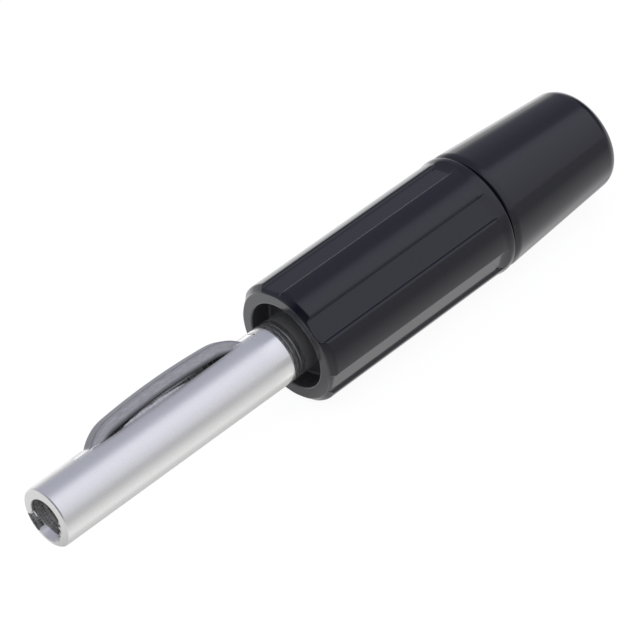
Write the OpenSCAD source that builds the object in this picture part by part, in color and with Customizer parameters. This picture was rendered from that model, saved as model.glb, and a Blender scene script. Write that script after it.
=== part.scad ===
// Banana plug of the 4 mm kind, lying with one flat of its grip barrel underneath.
// The axis of the plug is the X axis and the pin points to -X.
// X = 0 is the front face of the barrel.

/* [Contact pin] */
// Diameter of the contact pin
pin_d = 4; // [3.6:0.05:4.4]
// Length of pin in front of the barrel
pin_reach = 19.4; // [18.5:0.1:24]
// Diameter of the hole drilled up the pin
pin_bore_d = 2.45; // [2.3:0.05:2.6]
// How far the drilled hole runs past the front face of the barrel
bore_past_face = 0.4; // [0.2:0.1:2]
// Angle of the drill's point
drill_point_angle = 118; // [90:1:140]
// Diameter of the countersink at the tip
countersink_d = 3.1; // [2.8:0.05:3.3]
// Chamfer round the outside of the tip
tip_chamfer = 0.15; // [0.05:0.05:0.4]

/* [Slot and spring] */
// Length of the slot in the pin
slot_l = 14.4; // [13:0.1:16]
// Width of the slot
slot_w = 1.25; // [1.2:0.05:1.6]
// Middle of the slot, in front of the barrel
slot_middle = 8.9; // [8.7:0.1:10]
// Turn of the slot from straight up
slot_turn = 22; // [0:1:90]
// Width of the spring blade
spring_w = 1.05; // [0.8:0.05:1.1]
// Depth of the blade along its bow
spring_t = 0.9; // [0.6:0.05:0.95]
// How far the bow stands out of the pin
bow_rise = 1.03; // [0.7:0.01:1.2]
// Length of the bow's long crown
crown_l = 8.3; // [7.5:0.1:8.6]
// Slope at each end of the crown
crown_slope = 4.8; // [3:0.1:7]
// Radius of the bends that dive into the slot
bow_bend_r = 3.2; // [2:0.1:3.6]
// Radius of the hollows where the bow meets the blade's ends
heel_r = 0.3; // [0.2:0.05:0.6]
// How far the blade's ends lie under the outside of the pin
end_sunk = 0.14; // [0.1:0.01:0.25]
// How far the feet reach under the ends of the slot
foot_l = 0.75; // [0.5:0.05:1]
// Depth of the feet
foot_h = 0.9; // [0.6:0.05:0.95]
// Room between the edges of the feet and the hole in the pin
foot_gap = 0.06; // [0.04:0.01:0.1]
// Room between the blade's ends and the ends of the slot
slot_gap = 0.06; // [0.03:0.01:0.12]

/* [Terminal] */
// Diameter of the terminal behind the pin
terminal_d = 5.6; // [5.2:0.1:5.8]
// Length of the terminal
terminal_l = 7.3; // [6.5:0.1:8]
// Chamfer on the ends of the terminal
terminal_chamfer = 0.3; // [0.1:0.05:0.5]
// Diameter of the hole for the bare wire
wire_d = 2.2; // [1.8:0.1:2.4]
// Depth of the hole for the bare wire
wire_depth = 5.4; // [4.8:0.1:5.8]
// Diameter of the clamp screw
screw_d = 2.46; // [2:0.02:2.8]
// Length of the clamp screw
screw_l = 1.6; // [1.4:0.1:1.8]
// Place of the clamp screw, ahead of the terminal's rear end
screw_back = 3.4; // [2.6:0.1:4]
// How far the screw lies under the outside of the terminal
screw_sunk = 0.2; // [0.1:0.05:0.4]
// Width of the driver slot in the screw
driver_w = 0.45; // [0.3:0.05:0.6]
// Depth of the driver slot in the screw
driver_depth = 0.5; // [0.3:0.05:0.7]
// Turn of the driver slot from the axis of the plug
driver_turn = 35; // [0:5:90]

/* [Barrel] */
// Diameter of the barrel over its round lands
barrel_d = 8.36; // [8.1:0.02:9]
// Length of the barrel
barrel_l = 16.1; // [16:0.1:19]
// Radius of the front edge
front_edge_r = 0.4; // [0.3:0.05:0.6]
// Diameter of the recess round the pin
recess_d = 6; // [5.4:0.1:6.6]
// Depth of the recess
recess_depth = 1.5; // [1:0.1:3.4]
// Thickness of the wall behind the recess
front_wall_t = 3; // [2:0.1:3.6]
// Radius of the rounded edge at the mouth of the recess
recess_edge_r = 0.12; // [0.05:0.01:0.2]
// Number of sunk flats round the barrel
flats = 6; // [4:1:8]
// Width of each flat
flat_w = 1.76; // [1.4:0.02:2.1]
// Depth of each flat under the round lands
flat_depth = 0.28; // [0.2:0.02:0.4]
// Turn of the first flat from straight up
flat_turn = 0; // [0:1:60]
// Length over which each flat runs out at its rear end
flat_fade = 0.8; // [0.4:0.1:1.5]
// Distance from the flats' rear ends to the rim
flat_stop = 0.1; // [0.06:0.02:0.6]
// Diameter of the rim at the rear
rim_d = 8.5; // [8.36:0.02:9.2]
// Length of the rim
rim_l = 0.5; // [0.4:0.05:0.6]
// Length of the slope from the lands up to the rim
rim_slope_l = 0.5; // [0.2:0.05:0.8]
// Radius of the rim's edges
rim_edge_r = 0.16; // [0.05:0.01:0.2]
// Diameter of the mouth that takes the cap
mouth_d = 6.6; // [6.4:0.05:6.8]

/* [Rear cap] */
// Diameter of the cap where it meets the barrel
cap_front_d = 8.46; // [8:0.02:9]
// Diameter that the cap's taper reaches at its end
cap_rear_d = 7.06; // [6.8:0.02:7.6]
// Length of the cap behind the barrel
cap_l = 10.55; // [9:0.05:13]
// Radius of the cap's front edge
cap_front_r = 0.22; // [0.1:0.01:0.3]
// Radius of the cap's rear edge
cap_rear_r = 1; // [0.6:0.05:1.2]
// Diameter of the hole inside the spigot
spigot_bore_d = 4.6; // [4:0.1:4.8]
// Depth of the spigot's hole behind the barrel's rear end
spigot_bore_past = 4; // [3:0.1:5]
// Diameter of the hole that the wire comes in by
cord_d = 3.6; // [3:0.1:3.8]
// Chamfer round the wire's way in
cord_chamfer = 0.3; // [0.1:0.05:0.4]

/* [Fits] */
// Radial clearance of the pin in the front wall
pin_gap = 0.05; // [0.03:0.01:0.1]
// Radial clearance of the terminal in its chamber
chamber_gap = 0.05; // [0.03:0.01:0.1]
// Radial clearance of the spigot in the mouth
spigot_gap = 0.05; // [0.02:0.01:0.1]
// Radial clearance of the clamp screw in its hole
screw_gap = 0.02; // [0.01:0.01:0.05]
// Clearance between the spigot and the terminal, and between the cap and the barrel
end_gap = 0.05; // [0.03:0.01:0.1]

/* [Hidden] */
$fn = 96;
cut = 1;
round_steps = 6;
bend_steps = 10;

pin_r = pin_d / 2;
bore_r = pin_bore_d / 2;
tip_x = -pin_reach;
bore_end = bore_past_face;
drill_point_l = bore_r / tan(drill_point_angle / 2);
seat_x = recess_depth + front_wall_t;
terminal_end = seat_x + terminal_l;
terminal_r = terminal_d / 2;
screw_x = terminal_end - screw_back;
screw_top = terminal_r - screw_sunk;
mouth_x = terminal_end + end_gap;
barrel_r = barrel_d / 2;
rim_r = rim_d / 2;
rim_x = barrel_l - rim_l;
flat_r = barrel_r - flat_depth;
flat_end = rim_x - flat_stop;
cap_x = barrel_l + end_gap;
cap_end = barrel_l + cap_l;
cap_slope = atan((cap_front_d - cap_rear_d) / 2 / cap_l);
spigot_r = mouth_d / 2 - spigot_gap;
spigot_x = mouth_x;
funnel_x = barrel_l + spigot_bore_past;
funnel_l = (spigot_bore_d - cord_d) / 2;

// The blade is symmetrical, so one half is worked out from the middle of the slot.
// The feet run as high in the hole of the pin as their width lets them.
apex_r = pin_r + bow_rise;
blade_end_r = pin_r - end_sunk;
foot_r = sqrt(pow(bore_r - foot_gap, 2) - pow(spring_w / 2, 2));
foot_low = foot_r - foot_h;
crown_half = crown_l / 2;
crown_r = crown_half / sin(crown_slope);
crown_fall = crown_half * tan(crown_slope / 2);
bend_fall = apex_r - crown_fall - blade_end_r;
dive_slope = acos((bow_bend_r * cos(crown_slope) + heel_r - bend_fall) / (bow_bend_r + heel_r));
bend_centre = [crown_half, apex_r - crown_fall] - bow_bend_r * [sin(crown_slope), cos(crown_slope)];
heel_x = bend_centre[0] + (bow_bend_r + heel_r) * sin(dive_slope);
under_end = bend_centre + (bow_bend_r - spring_t) * [sin(dive_slope), cos(dive_slope)];
under_x = under_end[0] + (under_end[1] - foot_low) / tan(dive_slope);
blade_end = slot_l / 2 - slot_gap;
foot_end = slot_l / 2 + foot_l;

// Points on an arc about a centre, by angle from the X axis
function arc(centre, r, from, to, steps) =
    [for (i = [0:steps]) centre + r * [cos(from + (to - from) * i / steps),
                                       sin(from + (to - from) * i / steps)]];

function mirrored(points) = [for (i = [len(points) - 1:-1:0]) [-points[i][0], points[i][1]]];

function backwards(points) = [for (i = [len(points) - 1:-1:0]) points[i]];

// One half of the bow's two arcs, lying deep under the outer edge
function bow_half(deep) = concat(
    arc([0, apex_r - crown_r], crown_r - deep, 90, 90 - crown_slope, bend_steps),
    arc(bend_centre, bow_bend_r - deep, 90 - crown_slope, 90 - dive_slope, bend_steps));

// Outer edge of the blade: bow, hollow, end lying in the slot, and foot under the pin's wall
function outer_half() = concat(bow_half(0),
    arc([heel_x, blade_end_r + heel_r], heel_r, 270 - dive_slope, 270, bend_steps),
    [[blade_end, blade_end_r], [blade_end, foot_r], [foot_end, foot_r]]);

// Inner edge of the blade: under the bow, down to the underside of the foot
function inner_half() = concat(bow_half(spring_t), [[under_x, foot_low], [foot_end, foot_low]]);

// The first point of each half is the top of the crown, so one half leaves it out
function both_halves(half) =
    concat(mirrored(half), [for (i = [1:len(half) - 1]) half[i]]);

// A solid turned about the plug's axis, from a profile of [x, radius] points
module turned(profile) {
    rotate([90, 0, 90])
        rotate_extrude()
            polygon([for (p = profile) [p[1], p[0]]]);
}

// A round hole or pin along the plug's axis
module along(x_from, x_to, r) {
    translate([x_from, 0, 0])
        rotate([0, 90, 0])
            cylinder(h = x_to - x_from, r = r);
}

// A cone along the plug's axis
module taper(x_from, x_to, r_from, r_to) {
    translate([x_from, 0, 0])
        rotate([0, 90, 0])
            cylinder(h = x_to - x_from, r1 = r_from, r2 = r_to);
}

// Turns what is drawn straight up to an angle round the plug's axis
module turn_from_up(angle) {
    rotate([-angle, 0, 0])
        children();
}

// An outline of [x, radius] points stood upright and given a width across the plug
module upright(width) {
    rotate([90, 0, 0])
        linear_extrude(height = width, center = true)
            children();
}

module contact_blank() {
    turned([[tip_x, 0], [tip_x, pin_r - tip_chamfer], [tip_x + tip_chamfer, pin_r],
        [seat_x, pin_r], [seat_x, terminal_r - terminal_chamfer],
        [seat_x + terminal_chamfer, terminal_r],
        [terminal_end - terminal_chamfer, terminal_r],
        [terminal_end, terminal_r - terminal_chamfer], [terminal_end, 0]]);
}

module pin_hollow() {
    sink = (countersink_d - pin_bore_d) / 2;
    along(tip_x - cut, bore_end, bore_r);
    taper(bore_end, bore_end + drill_point_l, bore_r, 0);
    taper(tip_x - cut, tip_x + sink, countersink_d / 2 + cut, bore_r);
}

module contact_pin() {
    color("#c9cbd0")
        difference() {
            contact_blank();
            pin_hollow();
            along(terminal_end - wire_depth, terminal_end + cut, wire_d / 2);
            turn_from_up(slot_turn)
                translate([-slot_middle, 0, pin_r])
                    cube([slot_l, slot_w, pin_d], center = true);
            translate([screw_x, 0, 0])
                cylinder(h = terminal_d, r = screw_d / 2 + screw_gap);
        }
}

module bow_spring() {
    color("#a5a5aa")
        turn_from_up(slot_turn)
            translate([-slot_middle, 0, 0])
                upright(spring_w)
                    polygon(concat(both_halves(outer_half()), backwards(both_halves(inner_half()))));
}

module clamp_screw() {
    color("#b7b9bd")
        translate([screw_x, 0, screw_top - screw_l])
            difference() {
                cylinder(h = screw_l, r = screw_d / 2);
                translate([0, 0, screw_l])
                    rotate([0, 0, driver_turn])
                        cube([screw_d + cut, driver_w, 2 * driver_depth], center = true);
            }
}

module barrel_blank() {
    turned(concat(
        [[0, 0]],
        arc([front_edge_r, barrel_r - front_edge_r], front_edge_r, 180, 90, round_steps),
        [[rim_x - rim_slope_l, barrel_r], [rim_x, rim_r]],
        arc([barrel_l - rim_edge_r, rim_r - rim_edge_r], rim_edge_r, 90, 0, round_steps),
        [[barrel_l, 0]]));
}

// What is cut out for one flat: it is open to the front and runs out before the rim
module flat_recess() {
    upright(flat_w)
        polygon([[-cut, flat_r], [flat_end - flat_fade, flat_r], [flat_end, rim_r],
            [flat_end, rim_r + cut], [-cut, rim_r + cut]]);
}

module barrel_hollow() {
    along(-cut, recess_depth, recess_d / 2);
    turned(concat(
        [[-cut, 0], [-cut, recess_d / 2 + recess_edge_r]],
        arc([recess_edge_r, recess_d / 2 + recess_edge_r], recess_edge_r, 180, 270, round_steps),
        [[recess_edge_r, 0]]));
    along(-cut, seat_x + cut, pin_r + pin_gap);
    along(seat_x, barrel_l + cut, terminal_r + chamber_gap);
    along(mouth_x, barrel_l + cut, mouth_d / 2);
}

module barrel() {
    color("#1b1b1e")
        difference() {
            barrel_blank();
            for (i = [0:flats - 1])
                turn_from_up(flat_turn + i * 360 / flats)
                    flat_recess();
            barrel_hollow();
        }
}

module cap_blank() {
    shoulder_r = cap_front_d / 2;
    end_r = cap_rear_d / 2;
    turned(concat(
        [[spigot_x, 0], [spigot_x, spigot_r], [cap_x, spigot_r]],
        arc([cap_x + cap_front_r, shoulder_r - cap_front_r], cap_front_r, 180, 90 - cap_slope,
            round_steps),
        arc([cap_end - cap_rear_r, end_r - cap_rear_r * (1 / cos(cap_slope) - tan(cap_slope))],
            cap_rear_r, 90 - cap_slope, 0, 2 * round_steps),
        [[cap_end, 0]]));
}

module rear_cap() {
    color("#19191c")
        difference() {
            cap_blank();
            along(spigot_x - cut, funnel_x, spigot_bore_d / 2);
            taper(funnel_x, funnel_x + funnel_l, spigot_bore_d / 2, cord_d / 2);
            along(funnel_x, cap_end + cut, cord_d / 2);
            taper(cap_end - cord_chamfer, cap_end + cut, cord_d / 2, cord_d / 2 + cord_chamfer + cut);
        }
}

contact_pin();
bow_spring();
clamp_screw();
barrel();
rear_cap();
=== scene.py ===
import bpy
import math
import numpy as np
from mathutils import Matrix


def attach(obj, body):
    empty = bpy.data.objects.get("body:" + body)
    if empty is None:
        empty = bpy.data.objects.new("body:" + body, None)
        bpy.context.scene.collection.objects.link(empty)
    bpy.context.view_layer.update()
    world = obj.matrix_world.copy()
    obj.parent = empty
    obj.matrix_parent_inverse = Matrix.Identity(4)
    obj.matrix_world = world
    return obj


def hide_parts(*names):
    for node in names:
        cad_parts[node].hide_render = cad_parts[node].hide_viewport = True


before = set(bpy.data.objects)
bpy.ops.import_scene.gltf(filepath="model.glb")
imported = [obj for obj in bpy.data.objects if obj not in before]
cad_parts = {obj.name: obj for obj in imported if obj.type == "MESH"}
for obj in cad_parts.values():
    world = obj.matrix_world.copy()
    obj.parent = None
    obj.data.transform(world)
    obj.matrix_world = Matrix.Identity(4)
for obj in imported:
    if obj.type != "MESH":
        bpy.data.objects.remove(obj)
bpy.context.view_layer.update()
mm = 0.001
print("frame loaded:", ", ".join(sorted(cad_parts)))


# numbers of the four corners of every cell of a rows by cols grid that goes round its columns
def gridCells(rows, cols, closeRows=False):
    i, j = np.meshgrid(np.arange(rows if closeRows else rows - 1), np.arange(cols), indexing="ij")
    iNext, jNext = (i + 1) % rows, (j + 1) % cols
    return np.stack([i * cols + j, i * cols + jNext, iNext * cols + jNext, iNext * cols + j], -1)


# distance from zero along a straight run, eased so that the points crowd at both ends
def easedRun(count):
    return 0.5 - 0.5 * np.cos(np.pi * np.arange(count + 1) / count)


# a line of corners (x, r, rounding): each corner becomes an arc of its rounding radius and each
# side is cut into eased steps; gives the points and the number of the corner each one follows
def roundedLine(corners, closed=False, arcSteps=7, span=0.4):
    pts = np.array([c[:2] for c in corners], float)
    count = len(pts)
    ends, arcs = [], []
    for k in range(count):
        before, after = pts[k] - pts[k - 1], pts[(k + 1) % count] - pts[k]
        radius = corners[k][2] if len(corners[k]) > 2 else 0.0
        inner = closed or 0 < k < count - 1
        if radius <= 0 or not inner:
            arcs.append(pts[k][None])
            ends.append((pts[k], pts[k]))
            continue
        before, after = before / np.linalg.norm(before), after / np.linalg.norm(after)
        turn = math.atan2(before[0] * after[1] - before[1] * after[0], before @ after)
        reach = radius * abs(math.tan(turn / 2))
        side = math.copysign(1.0, turn)
        start = pts[k] - reach * before
        centre = start + side * radius * np.array([-before[1], before[0]])
        angle = np.linspace(0, turn, arcSteps + 1)[:, None]
        spoke = start - centre
        arc = centre + spoke * np.cos(angle) + np.array([-spoke[1], spoke[0]]) * np.sin(angle)
        arcs.append(arc)
        ends.append((arc[0], arc[-1]))
    points, owner = [], []
    for k in range(count):
        points.append(arcs[k])
        owner.append(np.full(len(arcs[k]), k))
        if k == count - 1 and not closed:
            break
        here, there = ends[k][1], ends[(k + 1) % count][0]
        steps = max(4, int(math.ceil(np.linalg.norm(there - here) / span)))
        run = easedRun(steps)[1:-1, None]
        points.append(here + (there - here) * run)
        owner.append(np.full(len(run), k))
    return np.concatenate(points), np.concatenate(owner)


# points turned about the plug's axis: (x, r sin a, r cos a), with a counted from straight up to +Y
def aboutAxis(x, r, angle):
    x, r, angle = np.broadcast_arrays(x, r, angle)
    return np.stack([x, r * np.sin(angle), r * np.cos(angle)], -1)


# a mesh from points in millimetres and cells: close points become one, cells with a lost corner
# become triangles, and a closed shell that is inside out is turned over
def makePiece(name, points, cells, body, nodes, deep=None):
    points, cells = points.reshape(-1, 3), cells.reshape(-1, 4)
    _, first, back = np.unique(np.round(points * 2e4).astype(np.int64), axis=0,
                               return_index=True, return_inverse=True)
    points, cells = points[first], back.reshape(-1)[cells]
    same = cells == np.roll(cells, -1, axis=1)
    quads = cells[~same.any(1)]
    thin = cells[same.sum(1) == 1]
    drop = np.argmax(thin == np.roll(thin, -1, axis=1), axis=1)
    pick = (drop[:, None] + np.array([1, 2, 3])) % 4
    tris = np.take_along_axis(thin, pick, axis=1)
    allTris = np.concatenate([quads[:, [0, 1, 2]], quads[:, [0, 2, 3]], tris])
    a, b, c = (points[allTris[:, k]] for k in range(3))
    if np.einsum("ij,ij->i", a, np.cross(b, c)).sum() < 0:
        quads, tris = quads[:, ::-1], tris[:, ::-1]
    mesh = bpy.data.meshes.new(name)
    mesh.from_pydata((points * mm).tolist(), [], quads.tolist() + tris.tolist())
    mesh.polygons.foreach_set("use_smooth", np.ones(len(mesh.polygons), bool))
    mesh.update()
    if deep is not None:
        layer = mesh.attributes.new("deep", "FLOAT", "POINT")
        layer.data.foreach_set("value", deep.reshape(-1)[first])
    piece = bpy.data.objects.new(name, mesh)
    bpy.context.scene.collection.objects.link(piece)
    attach(piece, body)
    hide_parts(*nodes)
    print("made", name, "with", len(points), "points")
    return piece


contact = dict(pinR=2.0, reach=19.4, boreR=1.225, boreEnd=0.4, pointLength=0.736, sinkR=1.55,
               tipChamfer=0.08, tipLean=0.16, leanRun=2.0, seat=4.5, terminalR=2.8,
               terminalEnd=11.8, terminalChamfer=0.3, wireR=1.1, wireDepth=5.4, slotMiddle=-8.9,
               slotLength=14.4, slotWidth=1.25, slotTurn=22.0, slotEdge=0.05, burr=0.28,
               burrFrom=-12.7, burrTo=-7.5, mouthR=1.34, mouthShift=0.12, mouthLength=1.6,
               sinkLeast=0.03, sinkWidth=0.27, sinkSteep=0.45, sinkToward=150, paintedDarkFrom=96,
               paintedDarkTo=135.0, raggedToward=250.6, ragged=0.34, raggedSpread=0.5, raggedRun=0.45,
               aroundSlot=10, aroundRest=190, grooveWidth=0.08)
# turned grooves beside the barrel, each as its place in x and its depth
contact["grooves"] = ((-1.58, 0.0007), (-1.37, 0.001), (-1.22, 0.0006), (-1.04, 0.0012),
                      (-0.92, 0.0007), (-0.78, 0.0016), (-0.66, 0.001), (-0.54, 0.0022),
                      (-0.42, 0.005), (-0.27, 0.0024))


# outward and sideways directions of the slot, turned about the axis
def slotDirections(c):
    turn = math.radians(c["slotTurn"])
    return (np.array([0, math.sin(turn), math.cos(turn)]),
            np.array([0, math.cos(turn), -math.sin(turn)]))


# hollow pin and terminal: one outline from the drill's point, out at the tip, back along the
# outside and into the wire hole, turned about the axis; the cells over the slot are left out and
# the slot's wall is lofted from the outside's gap, over a small bevel, down to the bore's gap
def makeContact(c):
    tip, edge = -c["reach"], c["slotEdge"]
    front, rear = c["slotMiddle"] - c["slotLength"] / 2, c["slotMiddle"] + c["slotLength"] / 2
    sinkDepth = c["sinkR"] - c["boreR"]
    end, ch = c["terminalEnd"], c["terminalChamfer"]
    corners = [(c["boreEnd"] + c["pointLength"], 0.0), (c["boreEnd"], c["boreR"], 0.05),
               (rear, c["boreR"]), (front, c["boreR"]),
               (tip + sinkDepth, c["boreR"], 0.06), (tip, c["sinkR"], 0.035),
               (tip, c["pinR"] - c["tipChamfer"], 0.05), (tip + c["tipChamfer"], c["pinR"], 0.08),
               (front - edge, c["pinR"]), (rear + edge, c["pinR"]),
               (c["seat"], c["pinR"], 0.05), (c["seat"], c["terminalR"] - ch, 0.05),
               (c["seat"] + ch, c["terminalR"], 0.05), (end - ch, c["terminalR"], 0.05),
               (end, c["terminalR"] - ch, 0.05), (end, c["wireR"], 0.08),
               (end - c["wireDepth"], c["wireR"], 0.05), (end - c["wireDepth"], 0.0)]
    line, owner = roundedLine(corners, span=0.3)
    for place, sunk in c["grooves"]:
        onPin = (owner == 9) & (line[:, 1] > c["pinR"] - 1e-6)
        near = np.argmin(np.abs(np.where(onPin, line[:, 0] - place, 9.0)))
        across = np.linspace(-0.5, 0.5, 9)
        cutLine = np.stack([place + across * c["grooveWidth"],
                            c["pinR"] - sunk * (0.5 + 0.5 * np.cos(2 * np.pi * across))], -1)
        far = np.abs(line[:, 0] - place) > c["grooveWidth"] / 2 + 0.01
        rest = far | ~onPin
        before = np.flatnonzero(rest & (np.arange(len(line)) < near))
        after = np.flatnonzero(rest & (np.arange(len(line)) >= near))
        line = np.concatenate([line[before], cutLine, line[after]])
        owner = np.concatenate([owner[before], np.full(9, 9), owner[after]])
    half = c["slotWidth"] / 2
    nSlot, nRest = c["aroundSlot"], c["aroundRest"]

    # columns: first across the slot, then round the rest of the circle
    def columns(gapAngle):
        across = np.linspace(-gapAngle, gapAngle, nSlot + 1)
        rest = gapAngle + (2 * np.pi - 2 * gapAngle) * easedRun(nRest)[1:-1]
        return np.concatenate([across, rest])
    outer = columns(math.asin((half + edge) / c["pinR"]))
    inner = columns(math.asin(half / c["boreR"]))
    rowNumber = np.arange(len(line))
    lastBore, firstOut = np.flatnonzero(owner == 4)[0], np.flatnonzero(owner == 7)[0]
    mixRow = np.clip((firstOut - rowNumber) / (firstOut - lastBore), 0, 1)[:, None]
    angle = inner * mixRow + outer * (1 - mixRow) + math.radians(c["slotTurn"])
    # the countersink leans to one side, and the bore's mouth is torn on another
    rowX, rowR, at = line[:, :1], line[:, 1:], owner[:, None]
    lean = np.cos(angle - math.radians(c["sinkToward"]))
    mouth = c["mouthR"] + c["mouthShift"] * lean
    wide = c["sinkLeast"] + c["sinkWidth"] * np.clip(2 * lean - 1, 0, 1) ** 0.35
    past = np.clip(0.5 + 2.5 * np.sin(angle - math.radians(c["paintedDarkTo"])), 0, 1)
    steep = 1 + c["sinkSteep"] * past
    onSink = ((at == 4) | (at == 5)) & (rowR > c["boreR"] + 1e-6) & (rowR <= c["sinkR"])
    onBore = (at == 3) | ((at == 4) & ~onSink)
    onFace = (at == 5) & ~onSink
    share = np.clip((rowR - c["boreR"]) / sinkDepth, 0, 1)
    pull = np.clip((front - rowX) / (front - tip - sinkDepth), 0, 1)
    outerR = c["pinR"] - c["tipChamfer"]
    edgeR = np.minimum(mouth + wide, outerR - 0.02)
    faceShare = np.clip((rowR - c["sinkR"]) / (outerR - c["sinkR"]), 0, 1)
    x = np.where(onSink, tip + steep * wide * (1 - share), rowX)
    x = np.where(onBore, rowX + (steep * wide - sinkDepth) * pull, x)
    r = np.where(onSink, mouth + (edgeR - mouth) * share, rowR)
    r = np.where(onFace, edgeR + (outerR - edgeR) * faceShare, r)
    flare = np.clip((tip + c["mouthLength"] - x) / (c["mouthLength"] - 0.3), 0, 1)
    r = np.where(onBore, rowR + (mouth - c["boreR"]) * flare * flare * (3 - 2 * flare), r)
    turnAt = (angle - math.radians(c["raggedToward"]) + np.pi) % (2 * np.pi) - np.pi
    tornShare = (np.clip(1 - np.abs(turnAt) / c["raggedSpread"], 0, 1)
                 * np.clip(1 - (x - tip) / c["raggedRun"], 0, 1))
    lumps = 0.45 + 0.4 * np.sin(17 * turnAt + 9 * x) + 0.35 * np.sin(43 * turnAt + 1.0)
    lumps = np.clip(lumps, 0, 1)
    inBore = (owner >= 2)[:, None] & (owner <= 4)[:, None]
    r = r - np.where(inBore, c["ragged"] * np.sqrt(tornShare) * lumps, 0.0)
    # the tip's face is a little out of square
    atTip = np.clip(1 - (rowX - tip) / c["leanRun"], 0, 1) ** 2 * (at < 9)
    x = x - c["tipLean"] * (0.5 + 0.5 * lean) * atTip
    points = aboutAxis(x, r, angle)
    cells = gridCells(len(line), len(outer))
    boreRows = np.flatnonzero(owner == 2)[0], np.flatnonzero(owner == 3)[0]
    outRows = np.flatnonzero(owner == 8)[0], np.flatnonzero(owner == 9)[0]
    keep = np.ones(cells.shape[:2], bool)
    keep[boreRows[0]:boreRows[1], :nSlot] = False
    keep[outRows[0]:outRows[1], :nSlot] = False

    # round the gap: along one side, across the far end, back and across the near end
    def gapLoop(rowList):
        up = np.stack([rowList, np.zeros_like(rowList)], -1)
        far = np.stack([np.full(nSlot - 1, rowList[-1]), np.arange(1, nSlot)], -1)
        down = np.stack([rowList[::-1], np.full_like(rowList, nSlot)], -1)
        near = np.stack([np.full(nSlot - 1, rowList[0]), np.arange(nSlot - 1, 0, -1)], -1)
        rc = np.concatenate([up, far, down, near])
        return points[rc[:, 0], rc[:, 1]]
    top = gapLoop(np.arange(outRows[0], outRows[1] + 1))
    bottom = gapLoop(np.arange(boreRows[1], boreRows[0] - 1, -1))
    upDir, sideDir = slotDirections(c)
    lip = np.stack([np.clip(top[:, 0], front, rear), np.clip(top @ sideDir, -half, half),
                    top @ upDir - edge], -1)
    lip = lip[:, :1] * np.array([1.0, 0, 0]) + lip[:, 1:2] * sideDir + lip[:, 2:] * upDir
    # a burr stands along the slot's near edge
    nearSide = top @ sideDir < -half + 1e-3
    along = np.clip((top[:, 0] - c["burrFrom"]) / (c["burrTo"] - c["burrFrom"]), 0, 1)
    height = np.where(nearSide, c["burr"] * np.sqrt(np.clip(np.sin(np.pi * along), 0, 1))
                      * (0.86 + 0.1 * np.sin(5.1 * top[:, 0]) + 0.06 * np.sin(17.0 * top[:, 0])), 0.0)
    crest = (top + lip) / 2 + height[:, None] * (upDir + 0.12 * sideDir)
    crestIn = (top + 3 * lip) / 4 + 0.93 * height[:, None] * (upDir + 0.16 * sideDir)
    down = easedRun(8)[:, None, None]
    wall = np.concatenate([top[None], (top + crest)[None] / 2, crest[None], crestIn[None],
                           lip * (1 - down) + bottom * down])
    wallCells = gridCells(len(wall), len(top))[..., ::-1] + points.shape[0] * points.shape[1]
    allPoints = np.concatenate([points.reshape(-1, 3), wall.reshape(-1, 3)])
    allCells = np.concatenate([cells[keep], wallCells.reshape(-1, 4)])
    return makePiece("contactBody", allPoints, allCells, "plug", ["contact_pin"])


spring = dict(width=1.05, depth=0.9, topEdge=0.14, lowEdge=0.1, apex=3.03, crownLength=8.3,
              crownSlope=4.8, bendR=3.2, heelR=0.3, endSunk=0.08, endCorner=0.06, footLength=0.75,
              footHeight=0.9, footGap=0.06, slotGap=0.06)


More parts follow.
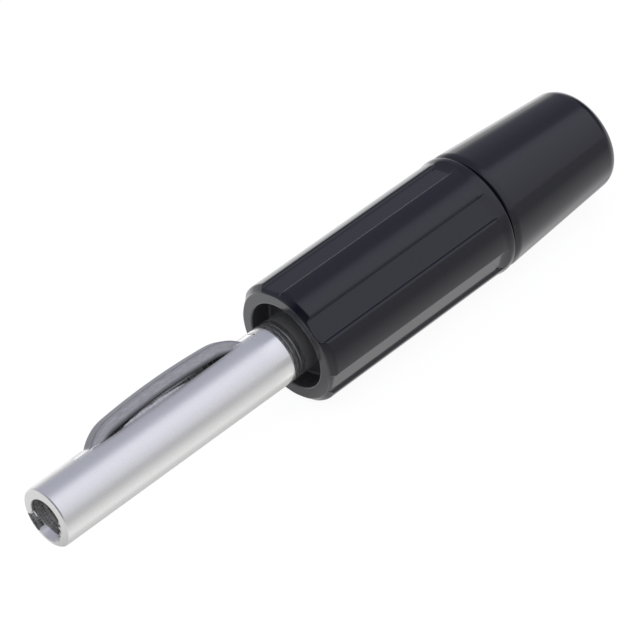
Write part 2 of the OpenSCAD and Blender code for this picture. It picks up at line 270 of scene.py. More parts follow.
# bow spring: a flat blade between an outer and an inner line; the outer one is a long crown arc, a
# tighter bend, a small hollow, the end that lies in the slot and the foot, the inner one runs under
# both arcs and straight down to the foot; each pair of points carries a rounded cross-section
def makeSpring(s, c):
    crown, w = math.radians(s["crownSlope"]), s["width"] / 2
    half, endR = s["crownLength"] / 2, c["pinR"] - s["endSunk"]
    crownR, fall = half / math.sin(crown), half * math.tan(crown / 2)
    bendR, heelR = s["bendR"], s["heelR"]
    dive = math.acos((bendR * math.cos(crown) + heelR - (s["apex"] - fall - endR)) / (bendR + heelR))
    bendAt = np.array([half - bendR * math.sin(crown), s["apex"] - fall - bendR * math.cos(crown)])
    heelX = bendAt[0] + (bendR + heelR) * math.sin(dive)
    foot = math.sqrt((c["boreR"] - s["footGap"]) ** 2 - w ** 2)
    footLow = foot - s["footHeight"]
    bladeEnd, footEnd = c["slotLength"] / 2 - s["slotGap"], c["slotLength"] / 2 + s["footLength"]
    onCrown, onBend = np.linspace(0, crown, 60), np.linspace(crown, dive, 30)[1:]

    def arcs(deep):
        first = np.stack([np.sin(onCrown), np.cos(onCrown)], -1) * (crownR - deep)
        second = np.stack([np.sin(onBend), np.cos(onBend)], -1) * (bendR - deep)
        return np.concatenate([first + [0, s["apex"] - crownR], second + bendAt])
    onHeel = np.linspace(dive, 0, 12)[1:]
    heel = np.array([heelX, endR + heelR]) - heelR * np.stack([np.sin(onHeel), np.cos(onHeel)], -1)
    tail, _ = roundedLine([(heelX, endR), (bladeEnd, endR, s["endCorner"]), (bladeEnd, foot, 0.04),
                           (footEnd, foot)], arcSteps=6, span=0.1)
    tail = np.concatenate([heel, tail[1:]])
    under = bendAt + (bendR - s["depth"]) * np.array([math.sin(dive), math.cos(dive)])
    step = np.hypot(*np.diff(np.concatenate([arcs(0)[-1:], tail]), axis=0).T)
    lowX = under[0] + (footEnd - under[0]) * np.cumsum(step) / step.sum()
    lowR = np.maximum(footLow, under[1] - (lowX - under[0]) * math.tan(dive))
    outer = np.concatenate([arcs(0), tail])
    inner = np.concatenate([arcs(s["depth"]), np.stack([lowX, lowR], -1)])
    outer, inner = (np.concatenate([k[:0:-1] * [-1, 1], k]) for k in (outer, inner))
    # the cross-section: side place, and depth as a fixed part plus a share of the blade's depth
    top, low, bend = s["topEdge"], s["lowEdge"], np.linspace(0, np.pi / 2, 7)
    down = easedRun(10)[1:-1]
    side = np.concatenate([(w - top) * (2 * easedRun(12)[6:-1] - 1), w - top + top * np.sin(bend),
                           np.full(len(down), w), w - low + low * np.cos(bend),
                           (w - low) * (1 - 2 * easedRun(12)[1:7])])
    fixed = np.concatenate([np.zeros(6), top * (1 - np.cos(bend)), top - down * (top + low),
                            low * (np.sin(bend) - 1), np.zeros(6)])
    share = np.concatenate([np.zeros(13), down, np.ones(13)])
    side, fixed, share = (np.concatenate([k, sign * k[-2:0:-1]]) for k, sign
                          in ((side, -1), (fixed, 1), (share, 1)))
    reach = np.hypot(*(inner - outer).T)[:, None]
    deep = (fixed + share * reach)[..., None] / reach[..., None]
    place = outer[:, None] + (inner - outer)[:, None] * deep
    flat = np.stack([place[..., 0] + c["slotMiddle"], np.broadcast_to(side, place.shape[:2]),
                     place[..., 1]], -1)
    tipA, tipB = (np.repeat(flat[k].mean(0)[None], len(side), 0)[None] for k in (0, -1))
    flat = np.concatenate([tipA, flat, tipB])
    # how deep a point lies under the outer edge, which sets the blade's painted shade, and one level where the
    # ends lie in the slot, painted a little darker
    deep = np.pad(deep[..., 0], ((1, 1), (0, 0)), mode="edge")
    ends = np.clip((np.abs(np.pad(outer[:, 0], 1, mode="edge")) - heelX + 0.25) / 0.2, 0, 1)[:, None]
    deep = deep * (1 - ends) + 0.66 * ends
    upDir, sideDir = slotDirections(c)
    points = (flat[..., :1] * np.array([1.0, 0, 0]) + flat[..., 1:2] * sideDir
              + flat[..., 2:] * upDir)
    cells = gridCells(points.shape[0], points.shape[1])
    return makePiece("bowBlade", points, cells, "spring", ["bow_spring"], deep)


# thread ridge height 0 to 1 on a helix: one smooth ridge in each pitch of x, moved on by one
# pitch for each turn of the angle, and faded out over the run at both ends
def threadRidge(x, angle, start, stop, pitch, fade):
    ridge = 0.5 + 0.5 * np.cos(2 * np.pi * (x / pitch - angle / (2 * np.pi)))
    ridge = np.clip(1.6 * ridge - 0.3, 0, 1)
    return ridge, np.clip((x - start) / fade, 0, 1) * np.clip((stop - x) / fade, 0, 1)


barrel = dict(landR=4.18, length=16.1, frontEdge=0.4, recessR=3.0, recessDepth=1.5,
              recessEdge=0.12, recessFillet=0.2, frontWall=3.0, flats=6, landFrom=14.6,
              flatDepth=0.28, flatStop=0.02, flatFade=0.72, frontBlend=0.24,
              stepInside=0.1, stepOutside=0.2, rimR=4.25, rimLength=0.32, rimSlope=0.36,
              rimEdge=0.15, mouthR=3.3, chamberR=2.85, chamberEnd=11.85, pinHoleR=2.05, pitch=0.75,
              threadDepth=0.16)


# one pitch of the grip's section as angle from the middle of a flat and radius: the level flat, a
# fillet that runs straight into the rounding at the land's edge, the land's arc, then mirrored
def gripSection(b):
    flatR, landR = b["landR"] - b["flatDepth"], b["landR"]
    ri, ro = b["stepInside"], b["stepOutside"]
    landFrom, half = math.radians(b["landFrom"]), np.pi / b["flats"]
    overAt = (landR - ro) * np.array([math.sin(landFrom), math.cos(landFrom)])
    steep = math.acos((flatR + ri - overAt[1]) / (ri + ro))
    floor = overAt[0] - (ri + ro) * math.sin(steep)
    rise, over = np.linspace(0, steep, 10), np.linspace(-steep, landFrom, 14)[1:]
    land = landFrom + (half - landFrom) * easedRun(10)[1:]
    u = np.concatenate([floor * (2 * easedRun(14)[7:-1] - 1), floor + ri * np.sin(rise),
                        overAt[0] + ro * np.sin(over), landR * np.sin(land)])
    v = np.concatenate([np.full(7, flatR), flatR + ri - ri * np.cos(rise),
                        overAt[1] + ro * np.cos(over), landR * np.cos(land)])
    angle, radius = np.arctan2(u, v), np.hypot(u, v)
    return np.concatenate([-angle[-2:0:-1], angle]), np.concatenate([radius[-2:0:-1], radius])


# grip barrel: a closed outline turned about the axis, where the outside's radius is the smaller
# of the outline's and the section's, blended where a flat meets the front edge; the flats run
# out on a slope before the rim
def makeBarrel(b):
    rimX, rear = b["length"] - b["rimLength"], b["length"]
    flatEnd = rimX - b["flatStop"]
    fadeX = flatEnd - b["flatFade"]
    seat = b["recessDepth"] + b["frontWall"]
    bevel = b["frontEdge"]
    corners = [(0, b["recessR"], b["recessEdge"]), (0, b["landR"] - bevel, 0.12),
               (bevel, b["landR"], 0.25), (fadeX - 0.1, b["landR"]), (fadeX, b["landR"]),
               (rimX - b["rimSlope"], b["landR"], 1.2), (rimX, b["rimR"], 1.2),
               (rear, b["rimR"], b["rimEdge"]), (rear, b["mouthR"], 0.15),
               (b["chamberEnd"], b["mouthR"], 0.05), (b["chamberEnd"], b["chamberR"], 0.1),
               (seat, b["chamberR"], 0.05), (seat, b["pinHoleR"], 0.05),
               (b["recessDepth"], b["pinHoleR"], 0.05),
               (b["recessDepth"], b["recessR"], b["recessFillet"])]
    line, owner = roundedLine(corners, closed=True, arcSteps=7, span=0.42)
    fromMiddle, sectR = gripSection(b)
    turns = np.arange(b["flats"])[:, None] * 2 * np.pi / b["flats"]
    angle = (turns + fromMiddle).reshape(-1)
    x, r = line[:, :1], line[:, 1:]
    floor, land = b["landR"] - b["flatDepth"], b["rimR"] - b["landR"]
    share = np.clip((x - fadeX) / b["flatFade"], 0, 1)
    pitchAngle = 2 * np.pi / b["flats"]
    offMiddle = angle - np.round(angle / pitchAngle) * pitchAngle
    slopeOut = (floor + (b["flatDepth"] + land) * share ** 1.3) / np.cos(offMiddle)
    sectAll = np.tile(sectR, b["flats"])
    sect = sectAll + np.where(x > fadeX, land * (sectAll - floor) / b["flatDepth"], 0.0)
    section = np.where(x > fadeX, np.maximum(sect, slopeOut), sect)
    blend = b["frontBlend"] * np.clip(b["landR"] - section, 0, None) / b["flatDepth"] + 1e-6
    near = np.clip(1 - np.abs(r - section) / blend, 0, 1)
    front = (owner < 3)[:, None] & (r > b["recessR"] + b["recessEdge"])
    outside = (owner < 7)[:, None] & (r > b["recessR"] + b["recessEdge"])
    radius = np.where(outside, np.minimum(r, section), r)
    radius = radius - np.where(front, near ** 2 * blend / 4, 0.0)
    inMouth = (owner == 8)[:, None] & (np.abs(r - b["mouthR"]) < 1e-6)
    ridge, fade = threadRidge(x, angle, b["chamberEnd"] + 0.3, rear - 0.2, b["pitch"], 0.4)
    radius = radius + np.where(inMouth, b["threadDepth"] * (1 - ridge) * fade, 0.0)
    points = aboutAxis(x, radius, angle)
    cells = gridCells(len(line), len(angle), closeRows=True)
    return makePiece("gripBarrel", points, cells, "plug", ["barrel"])


cap = dict(start=16.15, frontR=4.23, endR=3.53, end=26.65, frontEdge=0.58, rearEdge=1.0,
           spigotStart=11.85, spigotR=3.25, spigotBoreR=2.3, funnelStart=20.1, funnelEnd=20.6,
           cordR=1.8, cordChamfer=0.3, pitch=0.75, threadDepth=0.16, around=216)


# rear cap: a closed outline of spigot, shoulder, tapered outside, rounded end and wire hole,
# turned about the axis; the spigot's radius is lowered between the ridges of its thread
def makeCap(k):
    corners = [(k["spigotStart"], k["spigotBoreR"], 0.1), (k["spigotStart"], k["spigotR"], 0.2),
               (k["start"], k["spigotR"], 0.06), (k["start"], k["frontR"], k["frontEdge"]),
               (k["end"], k["endR"], k["rearEdge"]),
               (k["end"], k["cordR"] + k["cordChamfer"], 0.1),
               (k["end"] - k["cordChamfer"], k["cordR"], 0.1), (k["funnelEnd"], k["cordR"], 0.3),
               (k["funnelStart"], k["spigotBoreR"], 0.3)]
    line, owner = roundedLine(corners, closed=True, arcSteps=12, span=0.12)
    angle = np.linspace(0, 2 * np.pi, k["around"], endpoint=False)
    x, r = line[:, :1], line[:, 1:]
    onSpigot = (owner == 1)[:, None] & (np.abs(r - k["spigotR"]) < 1e-6)
    ridge, fade = threadRidge(x, angle, k["spigotStart"] + 0.3, k["start"] - 0.3, k["pitch"], 0.4)
    radius = r - np.where(onSpigot, k["threadDepth"] * (1 - ridge) * fade, 0.0)
    points = aboutAxis(x, radius, angle)
    cells = gridCells(len(line), len(angle), closeRows=True)
    return makePiece("taperCap", points, cells, "cap", ["rear_cap"])


contactPiece = makeContact(contact)
springPiece = makeSpring(spring, contact)
barrelPiece = makeBarrel(barrel)
capPiece = makeCap(cap)


# a shader node with its inputs set or linked by name
def addNode(tree, kind, **sockets):
    node = tree.nodes.new(kind)
    for key, value in sockets.items():
        target = node.inputs[int(key[1:])] if key[0] == "i" and key[1:].isdigit() else node.inputs[key]
        if isinstance(value, bpy.types.NodeSocket):
            tree.links.new(value, target)
        else:
            target.default_value = value
    return node


def mathNode(tree, operation, a, b=None):
    node = tree.nodes.new("ShaderNodeMath")
    node.operation = operation
    for socket, value in zip(node.inputs, (a, b)):
        if isinstance(value, bpy.types.NodeSocket):
            tree.links.new(value, socket)
        elif value is not None:
            socket.default_value = value
    return node.outputs[0]


# a ramp of greys or colours over 0 to 1
def rampNode(tree, factor, stops):
    node = tree.nodes.new("ShaderNodeValToRGB")
    elements = node.color_ramp.elements
    while len(elements) > 1:
        elements.remove(elements[-1])
    for k, (place, colour) in enumerate(stops):
        element = elements[0] if k == 0 else elements.new(place)
        element.position = place
        element.color = (colour, colour, colour, 1) if isinstance(colour, float) else (*colour, 1)
    tree.links.new(factor, node.inputs["Fac"])
    return node.outputs["Color"]


# lathe rings: a fine noise along x alone, plus a coarser one, bent a little round the axis
def makeRingGroup():
    tree = bpy.data.node_groups.new("latheRings", "ShaderNodeTree")
    face = tree.interface
    face.new_socket("Vector", in_out="INPUT", socket_type="NodeSocketVector")
    for name, value in (("Fine", 9000.0), ("Coarse", 2200.0), ("Wander", 0.00004)):
        face.new_socket(name, in_out="INPUT", socket_type="NodeSocketFloat").default_value = value
    for name in ("Height", "Mask"):
        face.new_socket(name, in_out="OUTPUT", socket_type="NodeSocketFloat")
    start, stop = tree.nodes.new("NodeGroupInput"), tree.nodes.new("NodeGroupOutput")
    xyz = addNode(tree, "ShaderNodeSeparateXYZ", Vector=start.outputs["Vector"])
    sway = addNode(tree, "ShaderNodeTexNoise", Vector=start.outputs["Vector"], Scale=350.0, Detail=1.0)
    shift = mathNode(tree, "MULTIPLY", sway.outputs["Fac"], start.outputs["Wander"])
    along = mathNode(tree, "ADD", xyz.outputs["X"], shift)
    noises = []
    for name, detail in (("Fine", 3.0), ("Coarse", 2.0)):
        noise = tree.nodes.new("ShaderNodeTexNoise")
        noise.noise_dimensions = "1D"
        noise.inputs["Detail"].default_value = detail
        noise.inputs["Scale"].default_value = 1.0
        tree.links.new(mathNode(tree, "MULTIPLY", along, start.outputs[name]), noise.inputs["W"])
        noises.append(noise.outputs["Fac"])
    both = mathNode(tree, "ADD", mathNode(tree, "MULTIPLY", noises[0], 0.85),
                    mathNode(tree, "MULTIPLY", noises[1], 0.15))
    tree.links.new(both, stop.inputs["Height"])
    tree.links.new(noises[1], stop.inputs["Mask"])
    return tree


# mould skin: a very fine pebble over a slow unevenness, and sparse dust specks
def makeSkinGroup():
    tree = bpy.data.node_groups.new("mouldSkin", "ShaderNodeTree")
    face = tree.interface
    face.new_socket("Vector", in_out="INPUT", socket_type="NodeSocketVector")
    for name, value in (("Pebble", 9000.0), ("Slow", 260.0), ("Dust", 0.78)):
        face.new_socket(name, in_out="INPUT", socket_type="NodeSocketFloat").default_value = value
    for name in ("Height", "Uneven", "Specks"):
        face.new_socket(name, in_out="OUTPUT", socket_type="NodeSocketFloat")
    start, stop = tree.nodes.new("NodeGroupInput"), tree.nodes.new("NodeGroupOutput")
    pebble = addNode(tree, "ShaderNodeTexNoise", Vector=start.outputs["Vector"],
                     Scale=start.outputs["Pebble"], Detail=3.0)
    slow = addNode(tree, "ShaderNodeTexNoise", Vector=start.outputs["Vector"],
                   Scale=start.outputs["Slow"], Detail=2.0)
    speck = addNode(tree, "ShaderNodeTexNoise", Vector=start.outputs["Vector"], Scale=6500.0, Detail=1.0)
    height = mathNode(tree, "ADD", mathNode(tree, "MULTIPLY", pebble.outputs["Fac"], 0.3),
                      mathNode(tree, "MULTIPLY", slow.outputs["Fac"], 0.7))
    above = mathNode(tree, "SUBTRACT", speck.outputs["Fac"], start.outputs["Dust"])
    specks = mathNode(tree, "MULTIPLY", above, 12.0)
    tree.nodes[-1].use_clamp = True
    tree.links.new(height, stop.inputs["Height"])
    tree.links.new(slow.outputs["Fac"], stop.inputs["Uneven"])
    tree.links.new(specks, stop.inputs["Specks"])
    return tree


ringGroup = makeRingGroup()
skinGroup = makeSkinGroup()
print("made shared effects:", ringGroup.name, skinGroup.name)


# a new material, its node tree, its shader with constants set, and Object coordinates
def newMaterial(name, **values):
    material = bpy.data.materials.new(name)
    material.use_nodes = True
    tree = material.node_tree
    shader = tree.nodes["Principled BSDF"]
    for key, value in values.items():
        shader.inputs[key.replace("_", " ")].default_value = value
    place = tree.nodes.new("ShaderNodeTexCoord").outputs["Object"]
    return material, tree, shader, place


def placeGroup(tree, group, **sockets):
    node = tree.nodes.new("ShaderNodeGroup")
    node.node_tree = group
    for key, value in sockets.items():
        if isinstance(value, bpy.types.NodeSocket):
            tree.links.new(value, node.inputs[key])
        else:
            node.inputs[key].default_value = value
    return node


def bumpInto(tree, shader, height, strength, distance):
    bump = addNode(tree, "ShaderNodeBump", Height=height, Strength=strength, Distance=distance)
    tree.links.new(bump.outputs["Normal"], shader.inputs["Normal"])


plating = dict(dark=(0.71, 0.709, 0.685), light=(0.775, 0.772, 0.745), rough=0.35,
               roughBeside=0.16, fadeFrom=-0.0028, fadeTo=-0.0014, bump=0.5, bumpDepth=0.000006, ringShare=0.4)


# nickel plating: faint lathe rings and a fine speckle; it is smoother close to the barrel
def platedMetal(p):
    material, tree, shader, place = newMaterial("platedNickel", Metallic=0.86)
    rings = placeGroup(tree, ringGroup, Vector=place, Fine=15000.0, Coarse=6000.0, Wander=0.00006)
    speck = addNode(tree, "ShaderNodeTexNoise", Vector=place, Scale=11000.0, Detail=3.0)
    ringPart = mathNode(tree, "MULTIPLY", rings.outputs["Height"], p["ringShare"])
    speckPart = mathNode(tree, "MULTIPLY", speck.outputs["Fac"], 1.0 - p["ringShare"])
    both = mathNode(tree, "ADD", ringPart, speckPart)
    colour = rampNode(tree, both, [(0.35, p["dark"]), (0.65, p["light"])])
    tree.links.new(colour, shader.inputs["Base Color"])
    xyz = addNode(tree, "ShaderNodeSeparateXYZ", Vector=place)
    rough = addNode(tree, "ShaderNodeMapRange", Value=xyz.outputs["X"],
                    **{"From Min": p["fadeFrom"], "From Max": p["fadeTo"],
                       "To Min": p["rough"], "To Max": p["roughBeside"]})
    tree.links.new(rough.outputs["Result"], shader.inputs["Roughness"])
    bumpInto(tree, shader, both, p["bump"], p["bumpDepth"])
    return material


drilled = dict(dark=(0.2, 0.195, 0.185), light=(0.7, 0.69, 0.66), roughLow=0.4, roughHigh=0.65,
               bump=0.4, bumpDepth=0.00003)
torn = dict(dark=(0.46, 0.46, 0.455), light=(0.62, 0.62, 0.61), roughLow=0.55, roughHigh=0.7,
            bump=0.05, bumpDepth=0.00001)
# painted dark reflection: a nearly black metal for one part of the countersink
paintedDark = dict(dark=(0.05, 0.055, 0.05), light=(0.3, 0.31, 0.3), roughLow=0.35, roughHigh=0.6,
              bump=0.4, bumpDepth=0.00002)


# drilled and milled insides: coarser marks on the same rings, and a speckle over them
def drilledMetal(name, p):
    material, tree, shader, place = newMaterial(name, Metallic=0.9)
    rings = placeGroup(tree, ringGroup, Vector=place, Fine=7000.0, Coarse=2400.0, Wander=0.00012)
    speck = addNode(tree, "ShaderNodeTexNoise", Vector=place, Scale=9000.0, Detail=3.0)
    both = mathNode(tree, "ADD", mathNode(tree, "MULTIPLY", rings.outputs["Height"], 0.6),
                    mathNode(tree, "MULTIPLY", speck.outputs["Fac"], 0.4))
    colour = rampNode(tree, both, [(0.4, p["dark"]), (0.6, p["light"])])
    tree.links.new(colour, shader.inputs["Base Color"])
    rough = addNode(tree, "ShaderNodeMapRange", Value=both,
                    **{"To Min": p["roughLow"], "To Max": p["roughHigh"]})
    tree.links.new(rough.outputs["Result"], shader.inputs["Roughness"])
    bumpInto(tree, shader, both, p["bump"], p["bumpDepth"])
    return material


strip = dict(dark=(0.43, 0.43, 0.435), light=(0.58, 0.58, 0.585), roughLow=0.6, roughHigh=0.78,
             bump=0.16, bumpDepth=0.00001)


# drawn strip: noise stretched along the bow gives the grain; a ramp over the attribute deep paints shade on
# the blade's top edge, lower edge and underside
def drawnStrip(p):
    material, tree, shader, place = newMaterial("satinStrip", Metallic=1.0)
    stretch = addNode(tree, "ShaderNodeMapping", Vector=place, Scale=(2200.0, 9000.0, 9000.0))
    grain = addNode(tree, "ShaderNodeTexNoise", Vector=stretch.outputs["Vector"], Scale=1.0, Detail=4.0)
    colour = rampNode(tree, grain.outputs["Fac"], [(0.3, p["dark"]), (0.7, p["light"])])
    deep = tree.nodes.new("ShaderNodeAttribute")
    deep.attribute_name = "deep"
    # painted shade over the attribute deep: the top edge a little darker, the lower edge and underside much
    # darker
    paintedShade = rampNode(tree, deep.outputs["Fac"], [(0.0, 0.76), (0.12, 0.86), (0.22, 1.0), (0.6, 1.0),
                                                 (0.72, 0.66), (0.86, 0.3), (1.0, 0.25)])
    mix = tree.nodes.new("ShaderNodeMix")
    mix.data_type, mix.blend_type = "RGBA", "MULTIPLY"
    mix.inputs["Factor"].default_value = 1.0
    tree.links.new(colour, mix.inputs[6])
    tree.links.new(paintedShade, mix.inputs[7])
    tree.links.new(mix.outputs[2], shader.inputs["Base Color"])
    rough = addNode(tree, "ShaderNodeMapRange", Value=grain.outputs["Fac"],
                    **{"To Min": p["roughLow"], "To Max": p["roughHigh"]})
    tree.links.new(rough.outputs["Result"], shader.inputs["Roughness"])
    bumpInto(tree, shader, grain.outputs["Fac"], p["bump"], p["bumpDepth"])
    return material


barrelBlack = dict(base=(0.0042, 0.0042, 0.0095), dustAndPaintedLight=(0.055, 0.055, 0.056), roughLow=0.12,
                   roughHigh=0.2, bump=0.05, bore=(0.00165, 0.00306), boreRough=0.4, gloss=0.5)
capBlack = dict(base=(0.0042, 0.0042, 0.0095), dustAndPaintedLight=(0.03, 0.03, 0.03), roughLow=0.1,
                roughHigh=0.18, bump=0.04)


# black plastic with the mould's skin; inside a bore, if one is given as (end in x, radius), it is
# rough and painted a lighter grey, a painted light in the recess's shade, and the face that the bore opens in
# has a thin gloss
def blackPlastic(name, base, dustAndPaintedLight, roughLow, roughHigh, bump, bore=None, boreRough=0.5, gloss=0.0):
    material, tree, shader, place = newMaterial(name, IOR=1.5)
    skin = placeGroup(tree, skinGroup, Vector=place, Pebble=11000.0, Slow=320.0, Dust=0.74)
    colour = rampNode(tree, skin.outputs["Specks"], [(0.0, base), (1.0, dustAndPaintedLight)])
    rough = addNode(tree, "ShaderNodeMapRange", Value=skin.outputs["Uneven"],
                    **{"To Min": roughLow, "To Max": roughHigh}).outputs["Result"]
    if bore:
        xyz = addNode(tree, "ShaderNodeSeparateXYZ", Vector=place)
        out = addNode(tree, "ShaderNodeCombineXYZ", Y=xyz.outputs["Y"], Z=xyz.outputs["Z"])
        size = tree.nodes.new("ShaderNodeVectorMath")
        size.operation = "LENGTH"
        tree.links.new(out.outputs["Vector"], size.inputs[0])
        inside = mathNode(tree, "MULTIPLY", mathNode(tree, "LESS_THAN", xyz.outputs["X"], bore[0]),
                          mathNode(tree, "LESS_THAN", size.outputs["Value"], bore[1]))
        mix = addNode(tree, "ShaderNodeMix", Factor=inside, A=rough, B=boreRough)
        rough = mix.outputs["Result"]
        # painted light: the bore's inside takes the lighter grey in place of the specks
        colour = rampNode(tree, inside, [(0.0, base), (1.0, dustAndPaintedLight)])
        face = addNode(tree, "ShaderNodeMapRange", Value=xyz.outputs["X"],
                       **{"From Min": 0.00004, "From Max": 0.00012, "To Min": gloss, "To Max": 0.0})
        tree.links.new(face.outputs["Result"], shader.inputs["Coat Weight"])
    tree.links.new(colour, shader.inputs["Base Color"])
    tree.links.new(rough, shader.inputs["Roughness"])
    bumpInto(tree, shader, skin.outputs["Height"], bump, 0.00001)
    return material


# steel of the clamp screw, with the same lathe rings
def screwMetal():
    material, tree, shader, place = newMaterial("screwSteel", Metallic=1.0)
    rings = placeGroup(tree, ringGroup, Vector=place, Fine=9000.0, Coarse=3000.0, Wander=0.0002)
    colour = rampNode(tree, rings.outputs["Mask"],
                      [(0.3, (0.45, 0.45, 0.46)), (0.7, (0.58, 0.58, 0.59))])
    tree.links.new(colour, shader.inputs["Base Color"])
    rough = addNode(tree, "ShaderNodeMapRange", Value=rings.outputs["Height"],
                    **{"To Min": 0.25, "To Max": 0.42})
    tree.links.new(rough.outputs["Result"], shader.inputs["Roughness"])
    return material


# middles of a piece's faces, in millimetres
def faceCentres(piece):
    centres = np.zeros(3 * len(piece.data.polygons))
    piece.data.polygons.foreach_get("center", centres)
    return centres.reshape(-1, 3) / mm


zones = dict(boreEnd=1.2, mouthMore=0.25, boreMore=0.005, mouthRun=0.3, tipDepth=0.16, wallMore=0.052,
             wallTop=1.88, burrOver=0.004, endMore=0.002, burrFrom=2.0, paintedDarkLow=1.46, paintedDarkHigh=1.9,
             paintedDarkDepth=0.32, bladeEnd=5.4, bladeOver=0.03)


# which metal each face of the contact has: 0 plating, 1 drilled insides and the slot's wall, 2 the
# burr, 3 a painted dark reflection on part of the countersink
def contactMetals(piece, c, z):
    centres = faceCentres(piece)
    upDir, sideDir = slotDirections(c)
    x, fromAxis = centres[:, 0], np.hypot(centres[:, 1], centres[:, 2])
    mouthEnd = z["mouthRun"] - c["reach"] + c["mouthLength"]
    boreReach = c["boreR"] + np.where(x < mouthEnd, z["mouthMore"], z["boreMore"])
    onWall = ((np.abs(centres @ sideDir) < c["slotWidth"] / 2 + z["wallMore"])
              & ((fromAxis < z["wallTop"]) | (fromAxis > c["pinR"] + z["burrOver"]))
              & (np.abs(x - c["slotMiddle"]) < c["slotLength"] / 2 + z["endMore"])
              & (centres @ upDir > 0))
    inside = (x < z["boreEnd"]) & (x >= z["tipDepth"] - c["reach"]) & ((fromAxis < boreReach) | onWall)
    onBurr = inside & (fromAxis > z["wallTop"]) & (x > z["burrFrom"] - c["reach"])
    turned = np.degrees(np.arctan2(centres[:, 1], centres[:, 2])) % 360
    # the painted dark reflection covers this span of angle, radius and depth on the countersink
    onPaintedDark = ((turned > c["paintedDarkFrom"]) & (turned < c["paintedDarkTo"]) & (fromAxis > z["paintedDarkLow"])
               & (fromAxis < z["paintedDarkHigh"]) & (x < z["paintedDarkDepth"] - c["reach"]))
    return np.where(onPaintedDark, 3, inside.astype(int) + onBurr).astype(np.int32)


# the blade's ends in the slot are plated like the pin (1), the rest is drawn strip (0)
def springMetals(piece, s, c, z):
    centres = faceCentres(piece)
    up = centres @ slotDirections(c)[0]
    atEnd = np.abs(centres[:, 0] - c["slotMiddle"]) > z["bladeEnd"]
    return (atEnd & (up < c["pinR"] - s["endSunk"] + z["bladeOver"])).astype(np.int32)


nickel = platedMetal(plating)
for metal in (nickel, drilledMetal("drilledNickel", drilled), drilledMetal("tornNickel", torn),
              drilledMetal("paintedDarkNickel", paintedDark)):
    contactPiece.data.materials.append(metal)
contactPiece.data.polygons.foreach_set("material_index", contactMetals(contactPiece, contact, zones))
springPiece.data.materials.append(drawnStrip(strip))
springPiece.data.materials.append(nickel)
springPiece.data.polygons.foreach_set("material_index", springMetals(springPiece, spring, contact, zones))
barrelPiece.data.materials.append(blackPlastic("barrelBlack", **barrelBlack))
capPiece.data.materials.append(blackPlastic("capBlack", **capBlack))
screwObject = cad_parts["clamp_screw"]
screwObject.data.materials.clear()
screwObject.data.materials.append(screwMetal())
print("materials set")


studio = dict(azimuth=-44.05, elevation=48.03, rollAbout=22.0, distance=0.1972, focal=180.9,
              shiftX=0.054, shiftY=0.041, floorZ=-0.00426, floorSize=1.5)


# camera at an azimuth and elevation about the front face of the barrel, then both turned
# together about the plug's axis so that the flat it lies on is level
def makeCamera(s):
    az, el, turn = (math.radians(s[k]) for k in ("azimuth", "elevation", "rollAbout"))
    back = np.array([math.sin(az) * math.cos(el), -math.cos(az) * math.cos(el), math.sin(el)])
    right = np.array([math.cos(az), math.sin(az), 0.0])
    up = np.cross(back, right)
    spin = np.array([[1, 0, 0], [0, math.cos(turn), -math.sin(turn)],
                     [0, math.sin(turn), math.cos(turn)]])
    axes = spin @ np.stack([right, up, back], -1)
    matrix = np.eye(4)
    matrix[:3, :3] = axes
    matrix[:3, 3] = axes[:, 2] * s["distance"]
    data = bpy.data.cameras.new("photoCamera")
    data.sensor_width = 36.0
    data.lens = s["focal"]
    data.shift_x, data.shift_y = s["shiftX"], s["shiftY"]
    data.clip_start, data.clip_end = 0.01, 20.0
    camera = bpy.data.objects.new("photoCamera", data)
    camera.matrix_world = Matrix(matrix.tolist())
    bpy.context.scene.collection.objects.link(camera)
    bpy.context.scene.camera = camera


# level of the table in reflections over y in millimetres; the dip from -2.1 to 2 under the plug is a painted
# shadow
tableLevels = ((-30, 0.46), (-14, 0.42), (-9, 0.68), (-6, 0.84), (-4.5, 0.9), (-3.4, 1.08),
               (-2.7, 1.08), (-2.1, 0.62), (-1.4, 0.68), (-0.4, 0.66), (0.6, 0.5), (2, 0.5),
               (5, 0.82), (15, 0.9), (35, 1.35), (50, 1.4))


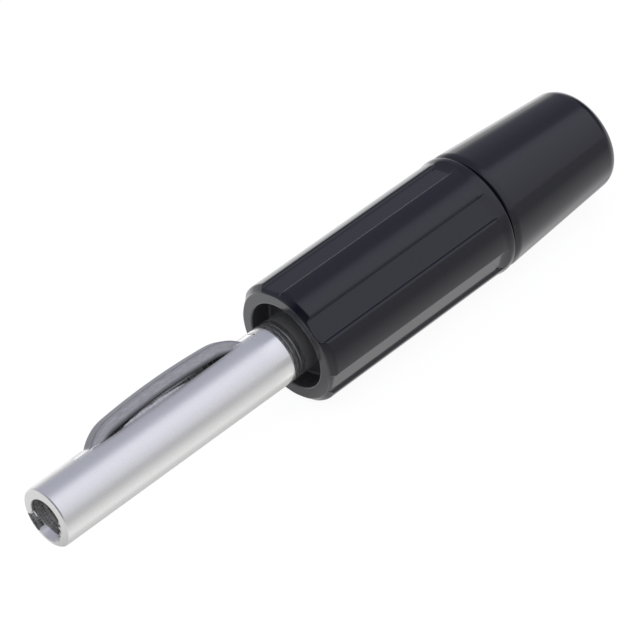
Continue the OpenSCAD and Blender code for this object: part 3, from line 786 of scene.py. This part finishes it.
# white table: nearly white to the eye with a faint shadow; in reflections its level follows a
# ramp over y, and it is dim far out past the tip
def makeFloor(s, levels):
    side = s["floorSize"] / 2
    mesh = bpy.data.meshes.new("table")
    mesh.from_pydata([(-side, -side, s["floorZ"]), (side, -side, s["floorZ"]),
                      (side, side, s["floorZ"]), (-side, side, s["floorZ"])], [], [(0, 1, 2, 3)])
    table = bpy.data.objects.new("table", mesh)
    bpy.context.scene.collection.objects.link(table)
    material = bpy.data.materials.new("tableWhite")
    material.use_nodes = True
    tree = material.node_tree
    tree.nodes.clear()
    path = tree.nodes.new("ShaderNodeLightPath")
    coords = tree.nodes.new("ShaderNodeTexCoord")
    place = addNode(tree, "ShaderNodeSeparateXYZ", Vector=coords.outputs["Object"])
    low, high, most = levels[0][0], levels[-1][0], levels[-1][1]
    across = addNode(tree, "ShaderNodeMapRange", Value=place.outputs["Y"],
                     **{"From Min": low * mm, "From Max": high * mm})
    nearer = rampNode(tree, across.outputs["Result"],
                      [((y - low) / (high - low), level / most) for y, level in levels])
    far = addNode(tree, "ShaderNodeMapRange", Value=place.outputs["X"],
                  **{"From Min": -0.065, "From Max": -0.04, "To Min": 0.25, "To Max": most})
    plain = addNode(tree, "ShaderNodeBsdfDiffuse", Color=(0.8, 0.8, 0.8, 1))

    def lifted(diffuse, colour, strength):
        soft = addNode(tree, "ShaderNodeBsdfDiffuse", Color=(diffuse, diffuse, diffuse, 1))
        glow = addNode(tree, "ShaderNodeEmission", Color=colour, Strength=strength)
        return addNode(tree, "ShaderNodeAddShader", i0=soft.outputs[0], i1=glow.outputs[0])
    toEye, mirrored = lifted(0.12, (1, 1, 1, 1), 0.94), lifted(0.2, nearer, far.outputs["Result"])
    inMirror = mathNode(tree, "MAXIMUM", path.outputs["Is Glossy Ray"],
                        path.outputs["Is Transmission Ray"])
    first = addNode(tree, "ShaderNodeMixShader", Fac=inMirror, i1=plain.outputs[0],
                    i2=mirrored.outputs[0])
    mixed = addNode(tree, "ShaderNodeMixShader", Fac=path.outputs["Is Camera Ray"],
                    i1=first.outputs[0], i2=toEye.outputs[0])
    addNode(tree, "ShaderNodeOutputMaterial", Surface=mixed.outputs[0])
    mesh.materials.append(material)


# studio light from the world: its level follows the angle round the plug's axis, from the dim
# back over the zenith to the wide soft light on the camera's side; it is dark in an opening past
# the tip and dim behind the cap; the eye sees plain white
def makeWorld():
    world = bpy.data.worlds.new("studioLight")
    bpy.context.scene.world = world
    world.use_nodes = True
    tree = world.node_tree
    tree.nodes.clear()
    ray = tree.nodes.new("ShaderNodeTexCoord").outputs["Generated"]
    way = addNode(tree, "ShaderNodeSeparateXYZ", Vector=ray)
    front = mathNode(tree, "MULTIPLY", way.outputs["Y"], -1.0)
    angle = mathNode(tree, "ARCTAN2", front, way.outputs["Z"])
    share = mathNode(tree, "MULTIPLY_ADD", angle, 0.5 / math.pi)
    tree.nodes[-1].inputs[2].default_value = 0.5

    def at(degrees):
        return 0.5 + degrees / 360.0
    level = rampNode(tree, share, [
        (at(-92), 1.0), (at(-76), 0.95), (at(-68), (0.5, 0.5, 0.54)), (at(-60), (0.37, 0.38, 0.45)),
        (at(-40), (0.40, 0.41, 0.50)), (at(-10), (0.39, 0.40, 0.50)), (at(2.5), (0.43, 0.44, 0.54)),
        (at(13), (0.87, 0.88, 1.04)), (at(25), (0.96, 0.97, 1.09)), (at(55), (0.87, 0.87, 1.0)),
        (at(75), (0.77, 0.77, 0.86)), (at(92), (0.70, 0.70, 0.75))])
    toward = tree.nodes.new("ShaderNodeVectorMath")
    toward.operation = "DOT_PRODUCT"
    tree.links.new(ray, toward.inputs[0])
    toward.inputs[1].default_value = (-0.970, -0.199, 0.140)
    opening = addNode(tree, "ShaderNodeMapRange", Value=toward.outputs["Value"],
                      **{"From Min": 0.76, "From Max": 0.87, "To Min": 1.15, "To Max": 0.15})
    behind = addNode(tree, "ShaderNodeMapRange", Value=way.outputs["X"],
                     **{"From Min": 0.78, "From Max": 0.9, "To Min": 1.0, "To Max": 0.25})
    strength = mathNode(tree, "MULTIPLY", opening.outputs["Result"], behind.outputs["Result"])
    path = tree.nodes.new("ShaderNodeLightPath")
    light = addNode(tree, "ShaderNodeBackground", Color=level, Strength=strength)
    white = addNode(tree, "ShaderNodeBackground", Color=(1, 1, 1, 1), Strength=1.0)
    mixed = addNode(tree, "ShaderNodeMixShader", Fac=path.outputs["Is Camera Ray"],
                    i1=light.outputs[0], i2=white.outputs[0])
    addNode(tree, "ShaderNodeOutputWorld", Surface=mixed.outputs[0])


makeCamera(studio)
makeFloor(studio, tableLevels)
makeWorld()
bpy.context.scene.view_settings.view_transform = "Standard"
print("camera, table and light set")
